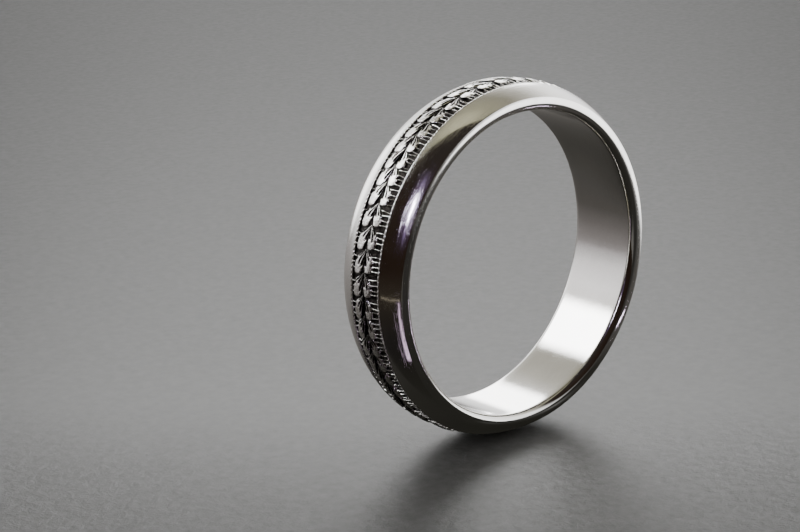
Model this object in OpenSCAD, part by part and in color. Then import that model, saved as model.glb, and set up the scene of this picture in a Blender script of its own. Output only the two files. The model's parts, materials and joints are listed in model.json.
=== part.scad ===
// Wedding band: a half-round polished ring with an engraved wreath round its middle.
// The finger axis is Y, +Z is up and the origin is the centre of the finger hole.

/* [Finger hole] */
// Diameter of the finger hole (17.3 is ring size 7)
bore_d = 17.3; // [14:0.1:22]
// Width of the band along the finger
band_w = 4.7; // [4:0.1:6]
// Wall of the inner sleeve that touches the finger
sleeve_wall = 0.46; // [0.44:0.02:0.6]
// Rounding between the finger hole and the side faces
bore_round = 0.4; // [0.1:0.05:0.42]

/* [Half-round outside] */
// Height of the flat side face above the finger hole
edge_wall = 0.77; // [0.72:0.01:0.9]
// Wall at the middle of the band, the top of its dome
crown_wall = 1.52; // [1.45:0.01:1.6]

/* [Border wires] */
// Distance from the middle of the band to the inner side of each wire
wire_y = 1.01; // [0.94:0.01:1.05]
// Width of each border wire
wire_w = 0.11; // [0.08:0.01:0.14]
// Height of each border wire, from the floor of its seat to its rounded top
wire_h = 0.24; // [0.16:0.01:0.3]
// Height of each wire's rounded top above the polished rail beside it
wire_proud = 0.02; // [0:0.01:0.04]

/* [Engraved band] */
// Pairs of leaves round the band
leaf_pairs = 54; // [46:1:56]
// Depth of the cut-backs and pits at the border
cut_depth = 0.13; // [0.05:0.01:0.2]
// Angle between a leaf's vein and the run of the band
vein_angle = 28; // [20:1:35]
// Half width of a vein at its wide end
vein_half_w = 0.07; // [0.04:0.01:0.09]

/* [Hidden] */
$fn = 180;

half_w = band_w / 2;
bore_r = bore_d / 2;
sleeve_r = bore_r + sleeve_wall;      // outside of the sleeve, seat of the rails and the band
edge_r = bore_r + edge_wall;          // outer edge of the flat side face
crown_r = bore_r + crown_wall;        // largest radius of the ring
dome_drop = crown_r - edge_r;
dome_arc_r = (half_w * half_w + dome_drop * dome_drop) / (2 * dome_drop);
dome_arc_at = crown_r - dome_arc_r;   // distance of the dome arc's centre from the axis
wire_out_y = wire_y + wire_w;         // outer side of the wire

// Radius of the half-round outside at a place along the finger
function dome_r(y) = dome_arc_at + sqrt(dome_arc_r * dome_arc_r - y * y);

border_r = dome_r(wire_y);
wire_top_r = dome_r(wire_out_y) + wire_proud;
wire_seat_r = wire_top_r - wire_h;    // floor of the seat cut in the rail for the wire
leaf_step = 360 / leaf_pairs;
leaf_pitch = 2 * PI * crown_r / leaf_pairs;
border_gap = 0.05;                    // plain metal between the cuts and the wire
cut_out_y = wire_y - border_gap;      // outer end of every cut
cut_back_w = 0.3 * leaf_pitch;        // cut-back at the border, beside a leaf's blunt end
cut_back_y = 0.38;                    // where the cut-back runs out, towards the stem
pit_at = 0.27 * leaf_pitch;           // small pit, from the leaf's blunt end
pit_size = 0.16;
vein_root_y = 0.08;                   // a vein's narrow end, beside the stem line
vein_root_at = 0.92 * leaf_pitch;
vein_len = 0.62 * leaf_pitch;
over = 1;                             // reach of a cutter past what it cuts

// Revolves a profile, drawn as (radius, place along the finger), round the finger axis
module revolve() {
    rotate([-90, 0, 0]) rotate_extrude() children();
}

// The same shape on the far side of the band
module on_side(side) {
    if (side > 0) children();
    else mirror([0, 1, 0]) children();
}

// What is cut off one corner of the sleeve to round it towards the finger
module bore_corner() {
    translate([bore_r, half_w - bore_round]) difference() {
        translate([-over, 0]) square([bore_round + over, bore_round + over]);
        translate([bore_round, 0]) circle(bore_round);
        translate([bore_round, -over]) square([over, bore_round + 3 * over]);
    }
}

module sleeve_profile() {
    difference() {
        translate([bore_r, -half_w]) square([sleeve_wall, band_w]);
        bore_corner();
        mirror([0, 1]) bore_corner();
    }
}

// The half-round outside between two places along the finger
module dome_profile(from_y, to_y) {
    intersection() {
        translate([dome_arc_at, 0]) circle(dome_arc_r);
        translate([sleeve_r, from_y]) square([crown_wall, to_y - from_y]);
    }
}

// Polished rail on the +Y side, with the seat for its border wire
module rail_profile() {
    difference() {
        dome_profile(wire_y, half_w);
        translate([wire_seat_r, wire_y - over]) square([wire_h + over, wire_w + over]);
    }
}

// Border wire on the +Y side: flat underneath, round on top
module wire_profile() {
    straight_h = wire_h - wire_w / 2;
    translate([wire_seat_r, wire_y]) {
        square([straight_h, wire_w]);
        translate([straight_h, wire_w / 2]) circle(wire_w / 2);
    }
}

// Cuts of one leaf are drawn on the +X side of the +Y half. Its blunt end is at z = 0 and
// its narrow end points to -Z, so a distance along the leaf is a distance down.

// Raises a flat outline, drawn as (along the leaf, towards the border), into a cutter
module cutter() {
    translate([border_r - cut_depth, 0, 0]) rotate([0, 90, 0])
        linear_extrude(crown_wall) children();
}

// Three-cornered cut-back that sets off the blunt end of the next leaf
module cut_back() {
    cutter() polygon([
        [leaf_pitch - cut_back_w, cut_out_y],
        [leaf_pitch, cut_out_y],
        [leaf_pitch, cut_back_y]
    ]);
}

// Small square pit at the border, beside the middle of the leaf
module border_pit() {
    cutter() translate([pit_at, cut_out_y - pit_size]) square(pit_size);
}

// Tapered vein that widens from the leaf's narrow end
module vein() {
    translate([crown_r, vein_root_y, -vein_root_at]) rotate([-vein_angle, 0, 0])
        cylinder(h = vein_len, r1 = vein_half_w / 4, r2 = vein_half_w);
}

module inner_sleeve() {
    color([0.62, 0.61, 0.6]) revolve() sleeve_profile();
}

module rail(side) {
    on_side(side) revolve() rail_profile();
}

module front_rail() {
    color([0.72, 0.71, 0.7]) rail(-1);
}

module back_rail() {
    color([0.72, 0.71, 0.7]) rail(1);
}

module engraved_centre_band() {
    color([0.85, 0.84, 0.82]) difference() {
        revolve() dome_profile(-wire_y, wire_y);
        for (i = [0:leaf_pairs - 1], side = [-1, 1])
            rotate([0, i * leaf_step, 0]) on_side(side) {
                cut_back();
                border_pit();
                vein();
            }
    }
}

module border_wire(side) {
    on_side(side) revolve() wire_profile();
}

module front_border_wire() {
    color([0.9, 0.89, 0.87]) border_wire(-1);
}

module back_border_wire() {
    color([0.9, 0.89, 0.87]) border_wire(1);
}

inner_sleeve();
front_rail();
back_rail();
engraved_centre_band();
front_border_wire();
back_border_wire();
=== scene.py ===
"""Looks of the wedding band: polished rails and sleeve, beaded border wires, engraved wreath.

Lengths inside the mesh code are millimetres; the finger axis is Y, +Z is up and the origin is the
centre of the finger hole. An angle round the ring starts at its top and runs clockwise, seen from
the front (-Y) side.
"""

import json
import math
import random

import bmesh
import bpy
import numpy as np
from mathutils import Matrix, Vector


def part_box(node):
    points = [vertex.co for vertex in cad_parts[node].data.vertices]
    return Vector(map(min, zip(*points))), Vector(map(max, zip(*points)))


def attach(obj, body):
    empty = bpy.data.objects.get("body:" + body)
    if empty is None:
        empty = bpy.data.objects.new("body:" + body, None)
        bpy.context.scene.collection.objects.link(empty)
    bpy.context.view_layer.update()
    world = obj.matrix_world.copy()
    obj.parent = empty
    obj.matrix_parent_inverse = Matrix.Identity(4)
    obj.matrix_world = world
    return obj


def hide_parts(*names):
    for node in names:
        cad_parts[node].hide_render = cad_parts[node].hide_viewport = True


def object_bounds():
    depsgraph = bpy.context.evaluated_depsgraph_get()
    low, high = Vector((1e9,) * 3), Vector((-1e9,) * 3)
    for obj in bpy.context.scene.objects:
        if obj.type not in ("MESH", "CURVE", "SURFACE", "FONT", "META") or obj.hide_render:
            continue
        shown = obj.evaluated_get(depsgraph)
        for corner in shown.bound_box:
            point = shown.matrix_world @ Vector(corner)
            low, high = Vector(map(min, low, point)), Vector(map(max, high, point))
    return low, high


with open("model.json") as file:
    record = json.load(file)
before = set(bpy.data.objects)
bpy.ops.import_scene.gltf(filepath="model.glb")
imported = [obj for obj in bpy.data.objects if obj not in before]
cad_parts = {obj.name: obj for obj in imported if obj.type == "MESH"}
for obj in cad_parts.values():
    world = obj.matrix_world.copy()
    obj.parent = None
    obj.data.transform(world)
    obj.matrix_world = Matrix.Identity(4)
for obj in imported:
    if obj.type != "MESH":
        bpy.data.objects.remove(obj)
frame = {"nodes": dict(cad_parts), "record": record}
cad_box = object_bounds()

MM = 0.001
UM = 1e-6

# ---------------------------------------------------------------- sizes, read from the frame

SAME_PLACE = 0.001       # millimetres within which two places count as one


def node_box(name):
    """Lowest and highest corner of a CAD node, in millimetres."""
    low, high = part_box(name)
    return low / MM, high / MM


def finger_bore():
    """Sizes of the finger hole, from the record's mount."""
    return next(m for m in frame["record"]["mounts"] if m["name"] == "finger_bore")["dims"]


def side_face_edge():
    """Outer radius of the flat side face, from the front rail's own vertices."""
    low, _ = node_box("front_rail")
    face = [v.co for v in frame["nodes"]["front_rail"].data.vertices
            if abs(v.co.y / MM - low.y) < SAME_PLACE]
    return max(math.hypot(c.x, c.z) for c in face) / MM


SLEEVE_BOX = node_box("inner_sleeve")
WIRE_BOX = node_box("back_border_wire")
BORE_R = finger_bore()["r_mm"]
HALF_W = SLEEVE_BOX[1].y
BORE_ROUND = HALF_W - finger_bore()["length_mm"] / 2
SLEEVE_R = SLEEVE_BOX[1].z
EDGE_R = side_face_edge()
CROWN_R = node_box("engraved_centre_band")[1].z
WIRE_IN_Y = WIRE_BOX[0].y
WIRE_OUT_Y = WIRE_BOX[1].y
WIRE_TOP_R = WIRE_BOX[1].z
WIRE_SEAT_R = min(math.hypot(v.co.x, v.co.z)
                  for v in frame["nodes"]["back_border_wire"].data.vertices) / MM

DROP = CROWN_R - EDGE_R
DOME_ARC_R = (HALF_W ** 2 + DROP ** 2) / (2 * DROP)
DOME_ARC_AT = CROWN_R - DOME_ARC_R


def dome_r(y):
    """Radius of the half-round outside at a place along the finger."""
    return DOME_ARC_AT + np.sqrt(DOME_ARC_R ** 2 - np.square(y))


# ---------------------------------------------------------------- mesh helpers

ROUND_SEGMENTS = 720     # steps round a plain turned piece


def ring_points(theta, y, r):
    """Points in metres from angles round the ring, places along the finger and radii."""
    theta, y, r = np.broadcast_arrays(theta, y, r)
    return np.stack([r * np.sin(theta), y, r * np.cos(theta)], -1) * MM


def linked_object(name, data):
    """A new object in the scene that shows the given mesh or camera."""
    obj = bpy.data.objects.new(name, data)
    bpy.context.scene.collection.objects.link(obj)
    return obj


def mesh_object(name, verts, faces, mats, face_mats, sharp_deg):
    """A mesh with outward faces, shaded smooth except across edges over sharp_deg."""
    data = bpy.data.meshes.new(name)
    data.from_pydata(verts, [], faces)
    if face_mats is not None:
        data.polygons.foreach_set("material_index", np.asarray(face_mats, np.int32))
    bm = bmesh.new()
    bm.from_mesh(data)
    bmesh.ops.recalc_face_normals(bm, faces=bm.faces)
    bm.to_mesh(data)
    bm.free()
    for mat in mats:
        data.materials.append(mat)
    data.shade_smooth()
    data.set_sharp_from_angle(angle=math.radians(sharp_deg))
    data.update()
    return linked_object(name, data)


def grid_faces(n_i, n_j, wrap_i, wrap_j, start=0):
    """Quads over a grid of points numbered row by row."""
    i = np.arange(n_i if wrap_i else n_i - 1)
    j = np.arange(n_j if wrap_j else n_j - 1)
    ii, jj = np.meshgrid(i, j, indexing="ij")
    i2, j2 = (ii + 1) % n_i, (jj + 1) % n_j
    quads = np.stack([ii * n_j + jj, i2 * n_j + jj, i2 * n_j + j2, ii * n_j + j2], -1)
    return (quads.reshape(-1, 4) + start).tolist()


def grid_rim(n_i, n_j):
    """Numbers of the outermost points of such a grid, in order round it."""
    rim = [i * n_j for i in range(n_i)] + [(n_i - 1) * n_j + j for j in range(1, n_j)]
    rim += [i * n_j + n_j - 1 for i in range(n_i - 2, -1, -1)]
    return rim + list(range(n_j - 2, 0, -1))


def lathe(name, profile, mats, sharp_deg, segments=ROUND_SEGMENTS, swell=None, pick=None):
    """Revolves a closed (radius, place along the finger) profile round the finger axis.

    swell(theta, r, y) adds to the radii, and pick(radii, y) gives each face's material.
    """
    r, y = np.array(profile, float).T
    theta = np.linspace(0, 2 * math.pi, segments, endpoint=False)[:, None]
    radii = np.broadcast_to(r, (segments, len(r))).copy()
    if swell is not None:
        radii += swell(theta, radii, np.broadcast_to(y, radii.shape))
    points = ring_points(theta, y[None, :], radii)
    faces = grid_faces(segments, len(r), True, True)
    picks = None if pick is None else pick(radii, np.broadcast_to(y, radii.shape))
    return mesh_object(name, points.reshape(-1, 3).tolist(), faces, mats, picks, sharp_deg)


def arc(centre_r, centre_y, radius, from_deg, to_deg, steps):
    """Points of an arc in the (radius, place along the finger) plane; 0 degrees is outwards."""
    turns = [math.radians(a) for a in np.linspace(from_deg, to_deg, steps)]
    return [(centre_r + radius * math.cos(a), centre_y + radius * math.sin(a)) for a in turns]


def on_side(profile, side):
    """The profile as drawn for the +Y side, or mirrored to the -Y side."""
    return [(r, y * side) for r, y in profile]


def gather(parts):
    """Joins (vertices, faces, materials) of several solids into one set."""
    verts, faces, mats, start = [], [], [], 0
    for v, f, m in parts:
        verts.append(v)
        faces += [[k + start for k in face] for face in f]
        mats += m
        start += len(v)
    return np.vstack(verts).tolist(), faces, mats


def smooth(x, low, high):
    """Rises from 0 at low to 1 at high, with soft ends."""
    t = np.clip((x - low) / (high - low), 0, 1)
    return t * t * (3 - 2 * t)


def spline(points, t):
    """Catmull-Rom curve through evenly spaced points, at values of t from 0 to 1."""
    p = np.array(points, float)
    p = np.vstack([2 * p[0] - p[1], p, 2 * p[-1] - p[-2]])
    at = np.clip(t, 0, 1) * (len(points) - 1)
    k = np.minimum(at.astype(int), len(points) - 2)
    f = (at - k)[:, None]
    a, b, c, d = p[k], p[k + 1], p[k + 2], p[k + 3]
    return 0.5 * (2 * b + (c - a) * f + (2 * a - 5 * b + 4 * c - d) * f ** 2
                  + (3 * b - a - 3 * c + d) * f ** 3)


# ---------------------------------------------------------------- material helpers

WHITE = (1, 1, 1)
BLACK = (0, 0, 0)


def add_node(tree, kind, links=(), **settings):
    """A node with settings, whose inputs are constants or other nodes' outputs."""
    made = tree.nodes.new(kind)
    for key, value in settings.items():
        setattr(made, key, value)
    for key, value in dict(links).items():
        if isinstance(value, bpy.types.NodeSocket):
            tree.links.new(value, made.inputs[key])
        else:
            made.inputs[key].default_value = value
    return made


def maths(tree, operation, a, b, clamp=False):
    """One sum on numbers or other nodes' outputs."""
    made = add_node(tree, "ShaderNodeMath", {0: a, 1: b}, operation=operation, use_clamp=clamp)
    return made.outputs[0]


def product(tree, *factors):
    """All the factors multiplied, from the first on."""
    total = factors[0]
    for factor in factors[1:]:
        total = maths(tree, "MULTIPLY", total, factor)
    return total


def scaled(tree, vector, scale, turn_deg=(0, 0, 0)):
    """A vector turned and scaled, each part by its own share."""
    return add_node(tree, "ShaderNodeMapping",
                    {"Vector": vector, "Rotation": [math.radians(a) for a in turn_deg],
                     "Scale": scale}).outputs[0]


def noise(tree, vector, scale=1.0, detail=2.0, rough=0.5, w=None):
    """Cloudy noise from 0 to 1, in four dimensions where w is given."""
    links = {"Vector": vector, "Scale": scale, "Detail": detail, "Roughness": rough}
    if w is not None:
        links["W"] = w
    return add_node(tree, "ShaderNodeTexNoise", links,
                    noise_dimensions="3D" if w is None else "4D").outputs["Fac"]


def ramp(tree, value, stops, soft=False):
    """A colour ramp with (position, colour) stops."""
    made = add_node(tree, "ShaderNodeValToRGB", {"Fac": value})
    if soft:
        made.color_ramp.interpolation = "EASE"
    elements = made.color_ramp.elements
    while len(elements) < len(stops):
        elements.new(0.5)
    for element, (position, colour) in zip(elements, stops):
        element.position = position
        element.color = (*colour, 1)
    return made.outputs["Color"]


def span(tree, value, low, high, to_low=0.0, to_high=1.0, soft=False):
    """The value's range from low to high, laid over to_low to to_high and held at the ends."""
    return add_node(tree, "ShaderNodeMapRange",
                    {"Value": value, "From Min": low, "From Max": high,
                     "To Min": to_low, "To Max": to_high},
                    interpolation_type="SMOOTHSTEP" if soft else "LINEAR").outputs["Result"]


def facing(tree, way, direction):
    """How far a vector reaches in a direction."""
    return add_node(tree, "ShaderNodeVectorMath", {0: way, 1: direction},
                    operation="DOT_PRODUCT").outputs["Value"]


def blend(tree, kind, factor, a, b):
    """Mixes two colours; each is an output of another node or a constant."""
    made = add_node(tree, "ShaderNodeMix", data_type="RGBA", blend_type=kind)
    for index, value in ((0, factor), (6, a), (7, b)):
        if isinstance(value, bpy.types.NodeSocket):
            tree.links.new(value, made.inputs[index])
        else:
            made.inputs[index].default_value = value
    return made.outputs[2]


def bump(tree, height, distance_um, normal=None):
    """A normal tilted by a height from 0 to 1, on top of another one where given."""
    links = {"Height": height, "Strength": 1.0, "Distance": distance_um * UM}
    if normal is not None:
        links["Normal"] = normal
    return add_node(tree, "ShaderNodeBump", links).outputs["Normal"]


def new_material(name):
    """A new material and its node tree."""
    mat = bpy.data.materials.new(name)
    mat.use_nodes = True
    return mat, mat.node_tree


def place_mm(tree):
    """The place on the object, in millimetres from its origin."""
    return scaled(tree, add_node(tree, "ShaderNodeTexCoord").outputs["Object"], (1 / MM,) * 3)


def set_surface(tree, shader):
    """Makes a shader node the material's surface."""
    tree.links.new(shader.outputs[0], tree.nodes["Material Output"].inputs["Surface"])


# ---------------------------------------------------------------- metals

PEEL_UM = 2.0            # orange peel of hand polishing
SPECK_PER_MM = 17
SCRATCH_PER_MM = 60
SCRATCH_STRETCH = 0.9    # noise steps per millimetre along a scratch
HAIRLINE_PER_MM = 55
HAIRLINE_STRETCH = 0.5


def metal(name):
    """A new material with a metallic shader, its tree, that shader and the place on the object."""
    mat, tree = new_material(name)
    shader = tree.nodes["Principled BSDF"]
    shader.inputs["Metallic"].default_value = 1.0
    return mat, tree, shader, place_mm(tree)


def finish_metal(tree, shader, colour, rough, normal):
    """Feeds a metal's colour, roughness and normal into its shader."""
    tree.links.new(colour, shader.inputs["Base Color"])
    tree.links.new(rough, shader.inputs["Roughness"])
    tree.links.new(normal, shader.inputs["Normal"])


def ring_radius(tree, place):
    """Distance from the finger axis, in millimetres."""
    flat = scaled(tree, place, (1, 0, 1))
    return add_node(tree, "ShaderNodeVectorMath", {0: flat}, operation="LENGTH").outputs["Value"]


def hairlines(tree, place):
    """Fine lines that run round the ring, from 0 to 1."""
    lines = scaled(tree, place, (HAIRLINE_STRETCH, HAIRLINE_PER_MM, HAIRLINE_STRETCH))
    return noise(tree, lines, w=product(tree, ring_radius(tree, place), HAIRLINE_PER_MM))


def stray_scratches(tree, place, turn_deg, keep):
    """Sparse straight scratches in one direction, 1 on a scratch and 0 beside it."""
    turned = scaled(tree, place, (SCRATCH_STRETCH, SCRATCH_PER_MM, SCRATCH_STRETCH), turn_deg)
    return span(tree, noise(tree, turned, detail=0), keep, keep + 0.05)


def polished_metal(name, tones, rough_low, rough_high, scratch):
    """Mirror-polished metal with hairlines round the ring, stray scratches, specks and peel."""
    mat, tree, shader, place = metal(name)
    cloud = noise(tree, place, scale=0.45, detail=4)
    tone = ramp(tree, cloud, [(0.3, tones[0]), (0.7, tones[1])])
    lines = hairlines(tree, place)
    strays = maths(tree, "ADD", stray_scratches(tree, place, (20, 15, 35), 0.70),
                   stray_scratches(tree, place, (-40, 60, -25), 0.71), clamp=True)
    specks = span(tree, noise(tree, place, scale=SPECK_PER_MM, detail=1), 0.62, 0.69)
    worn = maths(tree, "MAXIMUM", product(tree, strays, 0.6), specks)
    rough = span(tree, noise(tree, place, scale=1.3, detail=5), 0.3, 0.7, rough_low, rough_high)
    rough = maths(tree, "ADD", rough, product(tree, worn, scratch * 0.16))
    rough = maths(tree, "ADD", rough, product(tree, lines, scratch * 0.05))
    paler = ramp(tree, worn, [(0.0, BLACK), (1.0, WHITE)])
    peel = bump(tree, noise(tree, place, scale=2.2, detail=3), PEEL_UM)
    fine = bump(tree, lines, scratch * 0.5, normal=peel)
    cuts = bump(tree, maths(tree, "SUBTRACT", 1.0, worn), scratch, normal=fine)
    finish_metal(tree, shader, blend(tree, "MIX", product(tree, worn, 0.35), tone, paler), rough, cuts)
    return mat


def bright_cut_metal():
    """Facets left by a graver: bright, with fine chatter lines and small dark flecks."""
    mat, tree, shader, place = metal("bright_cut_metal")
    cloud = noise(tree, place, scale=2.6, detail=4)
    tone = ramp(tree, cloud, [(0.30, (0.56, 0.55, 0.53)), (0.62, (0.80, 0.79, 0.77))])
    chatter_lines = add_node(tree, "ShaderNodeMapping", {"Vector": place, "Rotation": (0.3, 0.6, 0.5),
                                                         "Scale": (6, 34, 9)})
    chatter = noise(tree, chatter_lines.outputs[0], detail=3, rough=0.6)
    fleck = span(tree, noise(tree, place, scale=SPECK_PER_MM, detail=2), 0.62, 0.72)
    shade = ramp(tree, fleck, [(0.0, WHITE), (1.0, (0.34, 0.32, 0.31))])
    coarse = bump(tree, noise(tree, place, scale=6, detail=2), 24)
    finish_metal(tree, shader, blend(tree, "MULTIPLY", 1.0, tone, shade),
                 span(tree, chatter, 0.3, 0.7, 0.17, 0.33), bump(tree, chatter, 9, normal=coarse))
    return mat


def painted_shade_recess_metal():
    """Dark metal in the cuts and pits: painted shade, with a tone that varies at random."""
    mat, tree, shader, place = metal("painted_shade_recess_metal")
    cloud = noise(tree, place, scale=6, detail=4)
    tone = ramp(tree, cloud, [(0.32, (0.008, 0.007, 0.007)), (0.55, (0.030, 0.026, 0.024)),
                              (0.75, (0.12, 0.11, 0.10))])
    finish_metal(tree, shader, tone, span(tree, cloud, 0.3, 0.7, 0.38, 0.6),
                 bump(tree, noise(tree, place, scale=22, detail=3), 10))
    return mat


# ---------------------------------------------------------------- polished pieces

SLEEVE_ROUND_STEPS = 14
SLEEVE_BORE_STEPS = 12

DOME_STEPS = 36
EDGE_ROUND = 0.035       # how much of the dome gives way to a softened outer edge
SOFT_EDGE = [(0.012, 0.017), (0.026, 0.006), (0.045, 0.0)]   # below the dome's end, in from the side
WIRE_CLEARANCE = 0.012   # between a wire's seat and the start of the dome
SEAT_WALL_DROP = 0.014   # how far the seat's wall ends below the dome

BEADS = 250
BEAD_DEPTH = 0.034
STEPS_PER_BEAD = 8
WIRE_TOP_STEPS = 13


def sleeve():
    """Plain tube against the finger, with rounded ends."""
    straight_y = HALF_W - BORE_ROUND
    rounding = arc(BORE_R + BORE_ROUND, straight_y, BORE_ROUND, 180, 90, SLEEVE_ROUND_STEPS)
    bore = [(BORE_R, y) for y in np.linspace(-straight_y, straight_y, SLEEVE_BORE_STEPS)[1:-1]]
    profile = rounding + [(SLEEVE_R, HALF_W), (SLEEVE_R, -HALF_W)]
    profile += on_side(reversed(rounding), -1) + bore
    sleeve_metal = polished_metal("sleeve_metal", [(0.70, 0.69, 0.67), (0.75, 0.74, 0.72)],
                                  0.05, 0.10, 0.18)
    return lathe("polished_sleeve", profile, [sleeve_metal], sharp_deg=50)


def rail_profile():
    """Half-round rail on the +Y side, with the seat of its wire and a softened outer edge."""
    crown = [(float(dome_r(y)), y)
             for y in np.linspace(WIRE_OUT_Y + WIRE_CLEARANCE, HALF_W - EDGE_ROUND, DOME_STEPS)]
    last_r = crown[-1][0]
    edge = [(last_r - drop, HALF_W - inset) for drop, inset in SOFT_EDGE]
    seat = [(WIRE_SEAT_R, WIRE_IN_Y), (WIRE_SEAT_R, WIRE_OUT_Y),
            (float(dome_r(WIRE_OUT_Y)) - SEAT_WALL_DROP, WIRE_OUT_Y)]
    return [(SLEEVE_R, WIRE_IN_Y)] + seat + crown + edge + [(SLEEVE_R, HALF_W)]


def rail(name, side, mat):
    """One polished rim of the band, on the +Y or the -Y side."""
    return lathe(name, on_side(rail_profile(), side), [mat], sharp_deg=50)


def wire(name, side, mat, seed):
    """Border wire whose top is beaded by hand, each bead a little different."""
    rng = np.random.default_rng(seed)
    strength = rng.uniform(0.25, 1.0, BEADS)
    radius = (WIRE_OUT_Y - WIRE_IN_Y) / 2
    centre_r = WIRE_TOP_R - radius
    mid_y = (WIRE_OUT_Y + WIRE_IN_Y) / 2
    top = arc(centre_r, mid_y, radius, 90, -90, WIRE_TOP_STEPS)
    profile = [(WIRE_SEAT_R, WIRE_OUT_Y)] + top + [(WIRE_SEAT_R, WIRE_IN_Y)]

    def beads(theta, r, y):
        turn = theta / (2 * math.pi) * BEADS
        depth = strength[np.floor(turn).astype(int) % BEADS]
        dip = np.square(np.cos(math.pi * turn))
        return -BEAD_DEPTH * depth * dip * (r > centre_r)

    return lathe(name, on_side(profile, side), [mat], sharp_deg=60,
                 segments=BEADS * STEPS_PER_BEAD, swell=beads)


# ---------------------------------------------------------------- engraved wreath

LEAVES = 54
LEAF_STEP = 2 * math.pi / LEAVES
FIRST_LEAF = math.radians(-4.05)
DRIFT = math.radians(1.3)         # how far the hand-set spacing wanders
DRIFT_WAVES = 5
DRIFT_PEAK = math.radians(-66)

# A leaf's two long edges from its narrow tip to its blunt end, as (pitches from the blunt end,
# share of the way from the stem to the border).
BACK_LEAF = {
    "stem": [(1.16, 0.02), (0.86, 0.06), (0.58, 0.12), (0.30, 0.20), (0.02, 0.30)],
    "border": [(1.18, 0.08), (1.00, 0.34), (0.76, 0.70), (0.40, 0.84), (0.00, 0.81)],
    "grooves": [(0.16, 0.76), (0.48, 0.68), (0.79, 0.44)],   # place across, length from the tip
    "notch": 0.56,                                           # place along of a cut from the border
}
FRONT_LEAF = {
    "stem": [(1.12, 0.00), (0.82, 0.01), (0.55, 0.02), (0.28, 0.05), (0.02, 0.13)],
    "border": [(1.14, 0.06), (0.94, 0.26), (0.66, 0.52), (0.34, 0.63), (0.06, 0.57)],
    "grooves": [(0.20, 0.70), (0.51, 0.66), (0.81, 0.50)],
    "notch": 0.70,
}
# Places along a leaf from its tip (0) to its blunt end (1), closer together at both ends.
ALONG = np.concatenate([[0, 0.02], np.linspace(0.06, 0.94, 26), [0.97, 0.985, 1]])
BELLY = 0.06             # how far the blunt end bulges, in pitches
LEAF_SINK = 0.012        # a leaf's middle below the dome, at its blunt end
TIP_DROP = 0.07          # how much lower the tip lies
CROWN_DROP = 0.022       # how much lower the two long edges lie
EDGE_DROP = 0.022        # the softened edge all round
CLOSEST = 0.004          # the least depth of any point of a leaf below the dome
GROOVE_HALF = 0.12       # half a groove's width, as a share of the leaf's
GROOVE_DEPTH = 0.10
NOTCH_HALF = 0.06        # half a notch's width, as a share of the leaf's length
PAINTED_SHADE_FROM_CUT = 0.20       # share of a groove's depth from which its faces get the painted-shade metal
SKIRT_DEPTH = 0.19       # undersides of leaves and bars, hidden in the ground

BAR_OUTER_END = 0.985    # share of the way from the stem to the border
BAR_ROUND_DROP = 0.006   # across a bar's top, at its shoulders
BAR_SIDE_DROP = 0.03     # and at its sides
BAR_WAIST = 0.35         # how much thinner a bar is in the middle
BAR_STATIONS = 5

GROUND_DEPTH = 0.15
GROUND_STEPS_PER_LEAF = 24
LIP_DEPTH = 0.06         # top of the thin lip beside each wire
LIP_FROM, LIP_TO = 0.965, 0.985
SCALLOP = 0.012          # how far the lip's edge wanders
STEM_DEPTH = 0.03
STEM_HALF = 0.03
SHALLOW = 0.05           # ground less deep than this is bright-cut metal, deeper ground is painted shade


def leaf_start(i):
    """Angle of the blunt end of leaf pair i; the spacing drifts as in hand work."""
    even = FIRST_LEAF + i * LEAF_STEP
    return even + DRIFT * math.cos(DRIFT_WAVES * (even - DRIFT_PEAK))


def across_samples(grooves):
    """Places across a leaf: its edges, and each groove's bottom, sides and shoulders."""
    marks = {0.0, 0.03, 0.97, 1.0}
    for place, _ in grooves:
        marks |= {place - GROOVE_HALF, place - GROOVE_HALF / 2, place,
                  place + GROOVE_HALF / 2, place + GROOVE_HALF}
    return np.array(sorted(marks))


def leaf_places(shape, tau):
    """A leaf's points, as pitches from its blunt end and shares of the way to the border."""
    stem, border = spline(shape["stem"], ALONG), spline(shape["border"], ALONG)
    uv = stem[:, None, :] * (1 - tau[None, :, None]) + border[:, None, :] * tau[None, :, None]
    belly = BELLY * np.sin(math.pi * tau)[None, :] * smooth(ALONG, 0.6, 1.0)[:, None]
    return uv[..., 0] - belly, uv[..., 1]


def leaf_height(tau, rng):
    """A leaf's top over the dome: low at the tip, crowned across, and set a little askew."""
    lift = rng.uniform(-0.012, 0.004)
    tilt = rng.uniform(-0.03, 0.04)
    roll = rng.uniform(-0.05, 0.04)
    s, t = ALONG[:, None], tau[None, :]
    height = -LEAF_SINK + lift - TIP_DROP * (1 - s) ** 1.3 - CROWN_DROP * (2 * t - 1) ** 2
    height = height + tilt * (s - 1) + roll * (t - 1)
    from_edge = np.minimum(np.minimum(t, 1 - t) / 0.07, np.minimum(s, 1 - s) / 0.03)
    return height - EDGE_DROP * (1 - np.clip(from_edge, 0, 1))


def leaf_cut(shape, tau, grooves, rng):
    """Share of the groove depth cut away at each point, by the grooves and one notch."""
    cut = np.zeros((len(ALONG), len(tau)))
    for place, length in grooves:
        run = (1 - smooth(ALONG, length - 0.16, length + 0.04))[:, None]
        vee = np.clip(1 - np.abs(tau - place)[None, :] / GROOVE_HALF, 0, 1)
        cut = np.maximum(cut, vee * run)
    notch_at = shape["notch"] + rng.uniform(-0.08, 0.08)
    notch = np.clip(1 - np.abs(ALONG - notch_at) / NOTCH_HALF, 0, 1)[:, None]
    notch = notch * smooth(tau, 0.74, 0.9)[None, :]
    return np.maximum(cut, notch * rng.uniform(0.4, 1.0))


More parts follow.
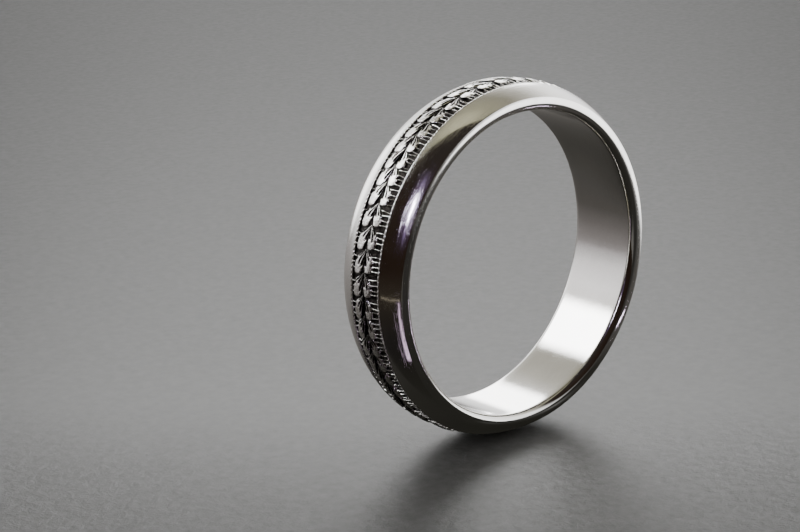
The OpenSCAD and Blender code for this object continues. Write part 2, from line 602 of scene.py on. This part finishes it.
def leaf(shape, side, start, rng):
    """Vertices, faces and face materials (0 bright-cut, 1 painted shade) of one closed leaf."""
    grooves = [(place + rng.uniform(-0.02, 0.02), length + rng.uniform(-0.12, 0.12))
               for place, length in shape["grooves"]]
    tau = across_samples(grooves)
    u, v = leaf_places(shape, tau)
    stretch = 1 + rng.uniform(-0.05, 0.03)
    height = leaf_height(tau, rng)
    cut = leaf_cut(shape, tau, grooves, rng)
    height = np.minimum(height - GROOVE_DEPTH * cut, -CLOSEST)
    theta = start + LEAF_STEP * (u * stretch + rng.uniform(-0.015, 0.015))
    y = side * v * WIRE_IN_Y * (1 + rng.uniform(-0.015, 0.01))
    r = dome_r(y)
    top = ring_points(theta, y, r + height).reshape(-1, 3)
    under = ring_points(theta, y, r - SKIRT_DEPTH).reshape(-1, 3)
    n_s, n_t, count = len(ALONG), len(tau), len(top)
    cell_cut = (cut[:-1, :-1] + cut[1:, :-1] + cut[:-1, 1:] + cut[1:, 1:]) / 4
    # Grooved cells and all hidden faces get the painted-shade metal.
    mats = (cell_cut > PAINTED_SHADE_FROM_CUT).astype(int).reshape(-1).tolist()
    rim = grid_rim(n_s, n_t)
    walls = [[a, b, b + count, a + count] for a, b in zip(rim, rim[1:] + rim[:1])]
    hidden = grid_faces(n_s, n_t, False, False, count) + walls
    return (np.vstack([top, under]), grid_faces(n_s, n_t, False, False) + hidden,
            mats + [1] * len(hidden))


def leaf_row(name, shape, side, offset, mats, seed):
    """The leaves on one side of the stem, all of one shape but each cut a little differently."""
    rng = random.Random(seed)
    verts, faces, picks = gather([leaf(shape, side, leaf_start(i) + offset, rng)
                                  for i in range(LEAVES)])
    return mesh_object(name, verts, faces, mats, picks, sharp_deg=28)


def bar(side, theta, lean, v_from, half_w, top):
    """One thin bar of metal left standing between two pits, with a rounded top."""
    stations = np.linspace(v_from, BAR_OUTER_END, BAR_STATIONS)
    across = np.array([-1, -1, -0.6, 0, 0.6, 1, 1])
    side_r, round_r = top - BAR_SIDE_DROP, top - BAR_ROUND_DROP
    heights = np.array([-SKIRT_DEPTH, side_r, round_r, top, round_r, side_r, -SKIRT_DEPTH])
    wide = half_w * (1 - BAR_WAIST * np.sin(math.pi * np.linspace(0, 1, BAR_STATIONS)))
    y = side * stations[:, None] * WIRE_IN_Y
    angle = theta + (lean * (stations - v_from)[:, None] + wide[:, None] * across) / CROWN_R
    points = ring_points(angle, y, dome_r(y) + heights).reshape(-1, 3)
    n = len(across)
    faces = grid_faces(BAR_STATIONS, n, False, True)
    faces += [list(range(n)), [(BAR_STATIONS - 1) * n + k for k in range(n)]]
    return points, faces, [0] * len(faces)


def bars(name, side, offset, places, mat, seed):
    """Bars between the pits along one border; places are (pitches on from a leaf, inner end)."""
    rng = random.Random(seed)
    parts = []
    for i in range(LEAVES):
        for u, v_from in places:
            theta = leaf_start(i) + offset + LEAF_STEP * (u + rng.uniform(-0.04, 0.04))
            parts.append(bar(side, theta, rng.uniform(-0.12, 0.12), v_from,
                             rng.uniform(0.018, 0.034), rng.uniform(-0.075, -0.015)))
    verts, faces, picks = gather(parts)
    return mesh_object(name, verts, faces, [mat], picks, sharp_deg=40)


def wreath_ground(mats):
    """Ground under the wreath, painted dark as shade where deep, with a stem groove and a thin lip
    beside each wire.
    """
    ys = np.concatenate([np.linspace(-1, -0.93, 8), np.linspace(-0.9, 0.9, 37),
                         np.linspace(0.93, 1, 8)]) * WIRE_IN_Y
    profile = [(float(dome_r(y)), float(y)) for y in ys]
    profile += [(SLEEVE_R, WIRE_IN_Y), (SLEEVE_R, -WIRE_IN_Y)]

    def carve(theta, r, y):
        scallop = SCALLOP * np.sin(theta * LEAVES * 4 + np.sin(theta * 7) * 3)
        lip = smooth(np.abs(y) / WIRE_IN_Y, LIP_FROM + scallop, LIP_TO + scallop)
        stem = STEM_DEPTH * np.exp(-np.square(y / STEM_HALF))
        ripple = 0.008 * np.sin(theta * 331 + 9 * y) + 0.006 * np.sin(theta * 197 - 23 * y)
        depth = GROUND_DEPTH * (1 - lip) + LIP_DEPTH * lip + stem + ripple * (1 - lip)
        return np.where(r > SLEEVE_R + SAME_PLACE, -depth, 0)

    def pick(radii, y):
        # Deep ground gets the painted-shade metal, the shallow lip the bright-cut metal.
        deep = (dome_r(y) - radii) > SHALLOW
        cell = deep | np.roll(deep, -1, axis=1)
        return cell.astype(int).reshape(-1)

    return lathe("wreath_ground", profile, mats, sharp_deg=35,
                 segments=LEAVES * GROUND_STEPS_PER_LEAF, swell=carve, pick=pick)


# ---------------------------------------------------------------- the object

BACK_OFFSET = 0.0
FRONT_OFFSET = 0.1 / CROWN_R      # the front leaves start a little further round than the back ones
BACK_BARS = [(0.16, 0.78), (0.46, 0.80), (0.72, 0.72)]
FRONT_BARS = [(0.10, 0.58), (0.34, 0.62), (0.58, 0.56), (0.80, 0.45)]

rail_metal = polished_metal("rail_metal", [(0.71, 0.70, 0.68), (0.77, 0.76, 0.74)], 0.04, 0.10, 0.8)
wire_metal = polished_metal("wire_metal", [(0.80, 0.79, 0.77), (0.88, 0.87, 0.85)], 0.10, 0.20, 1.2)
# The second material is painted shade, for the cuts, pits and deep ground.
engraved = [bright_cut_metal(), painted_shade_recess_metal()]

PIECES = [
    (sleeve(), "inner_sleeve", "sleeve_metal"),
    (rail("front_polished_rail", -1, rail_metal), "front_rail", "rail_metal"),
    (rail("back_polished_rail", 1, rail_metal), "back_rail", "rail_metal"),
    (wire("front_beaded_wire", -1, wire_metal, 11), "front_border_wire", "wire_metal"),
    (wire("back_beaded_wire", 1, wire_metal, 12), "back_border_wire", "wire_metal"),
    (wreath_ground(engraved), "engraved_centre_band", "engraved_metal"),
    (leaf_row("front_leaf_row", FRONT_LEAF, -1, FRONT_OFFSET, engraved, 21),
     "engraved_centre_band", "engraved_metal"),
    (leaf_row("back_leaf_row", BACK_LEAF, 1, BACK_OFFSET, engraved, 22),
     "engraved_centre_band", "engraved_metal"),
    (bars("front_pit_bars", -1, FRONT_OFFSET, FRONT_BARS, wire_metal, 31),
     "engraved_centre_band", "engraved_metal"),
    (bars("back_pit_bars", 1, BACK_OFFSET, BACK_BARS, wire_metal, 32),
     "engraved_centre_band", "engraved_metal"),
]
for piece, node, slot in PIECES:
    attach(piece, "root")
    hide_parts(node)

# ---------------------------------------------------------------- floor, and the painted reflections that the metal mirrors

FLOOR_Z = cad_box[0][2]
FLOOR_SIZE = 3.0
DISC_SIDES = 128
FLOOR_TONES = [(0.3, (0.215, 0.213, 0.207)), (0.7, (0.275, 0.273, 0.266))]
FLOOR_GRAIN_PER_MM = 1.6
FLOOR_RELIEF_UM = 240
FLOOR_SHEEN = 0.053
FLOOR_SHEEN_ROUGH = 0.26
FRONT_LEFT = (-0.70, -0.71, 0)         # the floor's relief grows this way, over RELIEF_GROWS
RELIEF_GROWS = (-4, 40)                # millimetres from the ring's centre
RELIEF_BEHIND = 0.04                   # share of the relief that is left behind the ring

# The metal mirrors this glowing disc instead of the visible floor; it is a painted reflection of a
# table with a painted contact shadow and painted shade in front: millimetres on the table, radiance.
TABLE_R = 0.108
TABLE_LAYER = 1e-5                     # how far the disc lies under the floor, in metres
CONTACT_SHADE = (11, 20)               # the disc shows painted shade inside, and is clear outside
FRONT_SHADE_AT = (5, -50)
FRONT_SHADE = (45, 55)
TABLE_TONE_REACH = 40
PAINTED_CONTACT_SHADOW_TONES = [(0.00, (0.001, 0.001, 0.001)), (0.18, (0.009, 0.009, 0.007)),
               (0.30, (0.026, 0.025, 0.021)), (1.00, (0.034, 0.032, 0.028))]
RIGHT_OF_RING = (11, 18)
BEHIND_RING = (10, 15)
PAINTED_FAR_TABLE_REFLECTION = (0.095, 0.089, 0.082)
FRONT_OF_RING = (-18, -25)
FRONT_TONE_X = (-20, 60)
PAINTED_FRONT_REFLECTION_TONES = [(0.04, (0.17, 0.165, 0.155)), (0.21, (0.035, 0.033, 0.030)),
               (0.55, (0.035, 0.033, 0.030)), (0.68, (0.10, 0.097, 0.092)),
               (0.88, (0.26, 0.255, 0.25))]

# Small glowing strips on the table that only the metal sees, painted reflections: name, two ends,
# width, radiance.
STRIP_LAYER = 5e-6
STRIPS = [("lower_lilac_painted_reflection", (-37, -10.4), (-13.5, -3.4), 1.0, (1.40, 1.05, 1.45)),
          ("left_cream_painted_reflection", (-40, -13), (-43, 6), 1.2, (0.75, 0.66, 0.50)),
          ("rim_lilac_painted_reflection", (19.4, -14.7), (21.0, -12.5), 0.9, (20.0, 16.5, 22.0))]


def stage_face(name, corners, mat):
    """A single flat face that belongs to the setting, not to the object."""
    data = bpy.data.meshes.new(name)
    data.from_pydata(corners, [], [list(range(len(corners)))])
    data.materials.append(mat)
    obj = linked_object(name, data)
    return obj


def flat_disc(name, radius, z, mat):
    """A flat disc centred under the object."""
    turn = np.linspace(0, 2 * math.pi, DISC_SIDES, endpoint=False)
    corners = np.stack([radius * np.cos(turn), radius * np.sin(turn), np.full(DISC_SIDES, z)], -1)
    return stage_face(name, corners.tolist(), mat)


def flat_strip(name, end_a, end_b, width, z, mat):
    """A flat rectangle on the floor between two places in millimetres."""
    a, b = np.array(end_a, float), np.array(end_b, float)
    aside = np.array([a[1] - b[1], b[0] - a[0]])
    aside *= width / 2 / np.linalg.norm(aside)
    corners = [(*(p * MM), z) for p in (a - aside, b - aside, b + aside, a + aside)]
    return stage_face(name, corners, mat)


def floor_material():
    """Pale matt floor with a fine grain and a faint soft sheen."""
    mat, tree = new_material("pale_floor")
    shader = tree.nodes["Principled BSDF"]
    place = place_mm(tree)
    grain = noise(tree, place, scale=FLOOR_GRAIN_PER_MM, detail=6, rough=0.65)
    near = span(tree, facing(tree, place, FRONT_LEFT), *RELIEF_GROWS, RELIEF_BEHIND, 1.0)
    relief = bump(tree, product(tree, grain, near), FLOOR_RELIEF_UM)
    shader.inputs["Specular IOR Level"].default_value = 0.0
    tree.links.new(ramp(tree, grain, FLOOR_TONES), shader.inputs["Base Color"])
    tree.links.new(relief, shader.inputs["Normal"])
    sheen = add_node(tree, "ShaderNodeBsdfGlossy", {"Roughness": FLOOR_SHEEN_ROUGH, "Normal": relief})
    set_surface(tree, add_node(tree, "ShaderNodeMixShader",
                               {0: FLOOR_SHEEN, 1: shader.outputs[0], 2: sheen.outputs[0]}))
    return mat


def painted_reflection_table_material():
    """Painted reflection of a table for the metal: a painted shadow under the ring and painted shade
    in front of it, then clear.
    """
    mat, tree = new_material("painted_reflection_table")
    place = place_mm(tree)
    parts = add_node(tree, "ShaderNodeSeparateXYZ", {0: place})
    x, y = parts.outputs["X"], parts.outputs["Y"]

    def away(centre_x, centre_y):
        return add_node(tree, "ShaderNodeVectorMath", {0: place, 1: (centre_x, centre_y, 0)},
                        operation="DISTANCE").outputs["Value"]

    under = away(0, 0)
    shade = maths(tree, "MAXIMUM", span(tree, under, *CONTACT_SHADE, 1.0, 0.0, soft=True),
                  span(tree, away(*FRONT_SHADE_AT), *FRONT_SHADE, 1.0, 0.0, soft=True))
    # Painted contact shadow: darkest under the ring, lighter outward.
    tone = ramp(tree, span(tree, under, 0, TABLE_TONE_REACH), PAINTED_CONTACT_SHADOW_TONES)
    far = maths(tree, "MAXIMUM", span(tree, x, *RIGHT_OF_RING), span(tree, y, *BEHIND_RING))
    lit = blend(tree, "MIX", far, tone, (*PAINTED_FAR_TABLE_REFLECTION, 1))
    painted_front_reflection = ramp(tree, span(tree, x, *FRONT_TONE_X), PAINTED_FRONT_REFLECTION_TONES)
    lit = blend(tree, "MIX", span(tree, y, *FRONT_OF_RING), lit, painted_front_reflection)
    # These tones glow as painted reflection; outside the shade masks the disc is clear.
    glow = add_node(tree, "ShaderNodeEmission", {"Color": lit})
    clear = add_node(tree, "ShaderNodeBsdfTransparent")
    set_surface(tree, add_node(tree, "ShaderNodeMixShader",
                               {0: shade, 1: clear.outputs[0], 2: glow.outputs[0]}))
    return mat


def painted_reflection_glow(name, colour):
    """Plain glow of one colour for a painted reflection, whose largest part is the strength."""
    mat, tree = new_material(name)
    strength = max(colour)
    set_surface(tree, add_node(tree, "ShaderNodeEmission",
                               {"Color": (*(c / strength for c in colour), 1), "Strength": strength}))
    return mat


def reflection_only(obj):
    """Leaves an object to be seen by mirror rays alone."""
    obj.visible_camera = False
    obj.visible_diffuse = False
    obj.visible_shadow = False
    obj.visible_transmission = False


floor = flat_disc("pale_floor", FLOOR_SIZE, FLOOR_Z, floor_material())
floor.visible_glossy = False
# A glowing disc seen only in mirror rays: painted reflection and painted shadow.
reflection_only(flat_disc("painted_reflection_disc", TABLE_R, FLOOR_Z - TABLE_LAYER, painted_reflection_table_material()))
# Each strip glows for mirror rays alone, as a painted reflection.
for strip_name, end_a, end_b, width, colour in STRIPS:
    reflection_only(flat_strip(strip_name, end_a, end_b, width, FLOOR_Z - STRIP_LAYER,
                               painted_reflection_glow(strip_name, colour)))

# ---------------------------------------------------------------- soft studio light

# What the metal mirrors of the room, as radiance. Heights are the Z part of a direction.
BRIGHT_HALF = [(-1.00, (0.040, 0.038, 0.034)), (-0.75, (0.065, 0.062, 0.056)),
               (-0.60, (0.100, 0.095, 0.088)), (-0.44, (0.135, 0.128, 0.118)),
               (-0.29, (0.260, 0.245, 0.235)), (-0.15, (0.420, 0.400, 0.390)),
               (-0.09, (0.560, 0.540, 0.530)), (-0.03, (1.10, 1.08, 1.09)),
               (0.00, (1.25, 1.25, 1.25)), (0.10, (1.95, 1.95, 1.95)),
               (0.30, (2.45, 2.45, 2.45)), (0.48, (2.20, 2.18, 2.12)),
               (0.60, (1.45, 1.42, 1.36)), (0.70, (0.80, 0.77, 0.69)),
               (0.84, (0.37, 0.350, 0.275)), (0.95, (0.46, 0.44, 0.315)),
               (1.00, (0.78, 0.74, 0.52))]
DARK_HALF = [(-1.00, (0.014, 0.013, 0.010)), (-0.67, (0.018, 0.016, 0.015)),
             (-0.29, (0.034, 0.028, 0.021)), (0.00, (0.020, 0.012, 0.008)),
             (0.60, (0.030, 0.020, 0.015)), (1.00, (0.036, 0.030, 0.026))]
BRIGHT_WAY = (0.5, 0.866, 0)           # the bright half lies this way
HALVES_MEET = (-0.045, -0.022)
BRIGHT_ON_RIGHT = (0.45, 0.65)         # the room is bright again far to the right
DIM_ON_LEFT = (-0.8, -0.3)
DIM_TONE = (0.66, 0.635, 0.64)
RADIANCE = 60.0                        # world strength; the ramps hold shares of it

# Soft lamps: direction, outer and inner radius in degrees, radiance.
SOFTBOXES = [((-0.39, 0.64, 0.66), 19, 10, (12.0, 12.0, 12.0)),
             ((0.60, 0.66, 0.42), 17, 8, (9.0, 9.0, 9.0)),
             ((0.22, 0.97, 0.08), 14, 6, (4.0, 4.0, 4.0)),
             ((0.86, -0.50, -0.08), 20, 12, (3.0, 3.0, 3.0)),
             ((0.74, -0.64, -0.18), 14, 9, (4.0, 4.0, 4.0))]

# The narrow lamp on the left fills an upright arc, which is square to LAMP_ARC.
LAMP_ARC = (0.264, -0.963, -0.062)
LAMP_EDGE = (0.002, 0.032)
HALO_EDGE = (0.02, 0.22)
LAMP_COLOUR = (52.0, 48.0, 60.0)
LAMP_TAIL = (0.8, 0.6, 1.2)            # faint light above and below the lamp itself
LAMP_HALO = (0.085, 0.050, 0.125)
LAMP_HEIGHTS = [(0.40, BLACK), (0.52, WHITE), (0.60, WHITE), (0.70, BLACK)]
TAIL_HEIGHTS = [(0.16, BLACK), (0.45, WHITE), (0.70, WHITE), (0.86, BLACK)]
LEFT_OF_RING = (-0.30, -0.42)

FLOOR_LIGHT = (0.262, 0.261, 0.257)    # radiance that everything except mirror rays gets


def share(colour):
    """A radiance as a share of the world's strength, opaque."""
    return (*(c / RADIANCE for c in colour), 1)


def radiance_ramp(tree, z, stops):
    """Radiance by height, from (height, radiance) stops."""
    return ramp(tree, span(tree, z, -1, 1),
                [((height + 1) / 2, share(colour)[:3]) for height, colour in stops])


def lamp_light(tree, way, parts):
    """A narrow upright lamp on the left with a faint lilac glow round it."""
    off = maths(tree, "ABSOLUTE", facing(tree, way, LAMP_ARC), 0.0)
    core = maths(tree, "POWER", span(tree, off, *LAMP_EDGE, 1.0, 0.0, soft=True), 2.0)
    glow = span(tree, off, *HALO_EDGE, 1.0, 0.0, soft=True)
    head = ramp(tree, parts.outputs["Z"], LAMP_HEIGHTS, soft=True)
    tail = ramp(tree, parts.outputs["Z"], TAIL_HEIGHTS, soft=True)
    left = span(tree, parts.outputs["X"], *LEFT_OF_RING)
    lit = blend(tree, "MIX", product(tree, core, head, left), (*BLACK, 1), share(LAMP_COLOUR))
    for strength, colour in ((core, LAMP_TAIL), (glow, LAMP_HALO)):
        lit = blend(tree, "ADD", product(tree, strength, tail, left), lit, share(colour))
    return lit


def room_light(tree, parts, side):
    """The bright half behind the ring, and the dark room in front of it."""
    x, z = parts.outputs["X"], parts.outputs["Z"]
    lit = maths(tree, "MAXIMUM", span(tree, side, *HALVES_MEET, soft=True),
                span(tree, x, *BRIGHT_ON_RIGHT, soft=True))
    dimmer = ramp(tree, span(tree, x, *DIM_ON_LEFT), [(0.0, DIM_TONE), (1.0, WHITE)])
    bright = blend(tree, "MULTIPLY", 1.0, radiance_ramp(tree, z, BRIGHT_HALF), dimmer)
    return blend(tree, "MIX", lit, radiance_ramp(tree, z, DARK_HALF), bright)


def studio_world():
    """Even light on the floor, and for mirror rays the room, its soft lamps and the narrow lamp."""
    world = bpy.data.worlds.new("soft_studio")
    bpy.context.scene.world = world
    world.use_nodes = True
    tree = world.node_tree
    way = add_node(tree, "ShaderNodeTexCoord").outputs["Generated"]
    parts = add_node(tree, "ShaderNodeSeparateXYZ", {0: way})
    seen = room_light(tree, parts, facing(tree, way, BRIGHT_WAY))
    for direction, outer, inner, colour in SOFTBOXES:
        box = span(tree, facing(tree, way, Vector(direction).normalized()),
                   math.cos(math.radians(outer)), math.cos(math.radians(inner)), soft=True)
        seen = blend(tree, "MIX", box, seen, share(colour))
    seen = blend(tree, "ADD", 1.0, seen, lamp_light(tree, way, parts))
    mirror_ray = add_node(tree, "ShaderNodeLightPath").outputs["Is Glossy Ray"]
    back = tree.nodes["Background"]
    tree.links.new(blend(tree, "MIX", mirror_ray, share(FLOOR_LIGHT), seen), back.inputs["Color"])
    back.inputs["Strength"].default_value = RADIANCE


studio_world()

# ---------------------------------------------------------------- camera

CAMERA_AZIMUTH = math.radians(-44.48)
CAMERA_ELEVATION = math.radians(16.04)
CAMERA_DISTANCE = 124.07
RING_RIGHT = 5.54        # where the ring's centre lies from the middle of the view, at its distance
RING_UP = 0.53
LENS_MM = 99.0
SENSOR_MM = 36.0
CLIP_START = 0.01
CLIP_END = 10.0


def aim_camera():
    """Puts the camera where the photograph was taken from, with the ring off the middle."""
    sin_a, cos_a = math.sin(CAMERA_AZIMUTH), math.cos(CAMERA_AZIMUTH)
    sin_e, cos_e = math.sin(CAMERA_ELEVATION), math.cos(CAMERA_ELEVATION)
    right = Vector((cos_a, sin_a, 0))
    back = Vector((sin_a * cos_e, -cos_a * cos_e, sin_e))
    up = back.cross(right)
    look = Matrix((right, up, back)).transposed()
    to_ring = Vector((RING_RIGHT, RING_UP, -CAMERA_DISTANCE))
    turn = to_ring.rotation_difference(Vector((0, 0, -1))).to_matrix()
    lens = bpy.data.cameras.new("camera")
    lens.sensor_width = SENSOR_MM
    lens.lens = LENS_MM
    lens.clip_start = CLIP_START
    lens.clip_end = CLIP_END
    camera = linked_object("camera", lens)
    camera.matrix_world = Matrix.Translation(back * CAMERA_DISTANCE * MM) @ (look @ turn).to_4x4()
    bpy.context.scene.camera = camera


aim_camera()
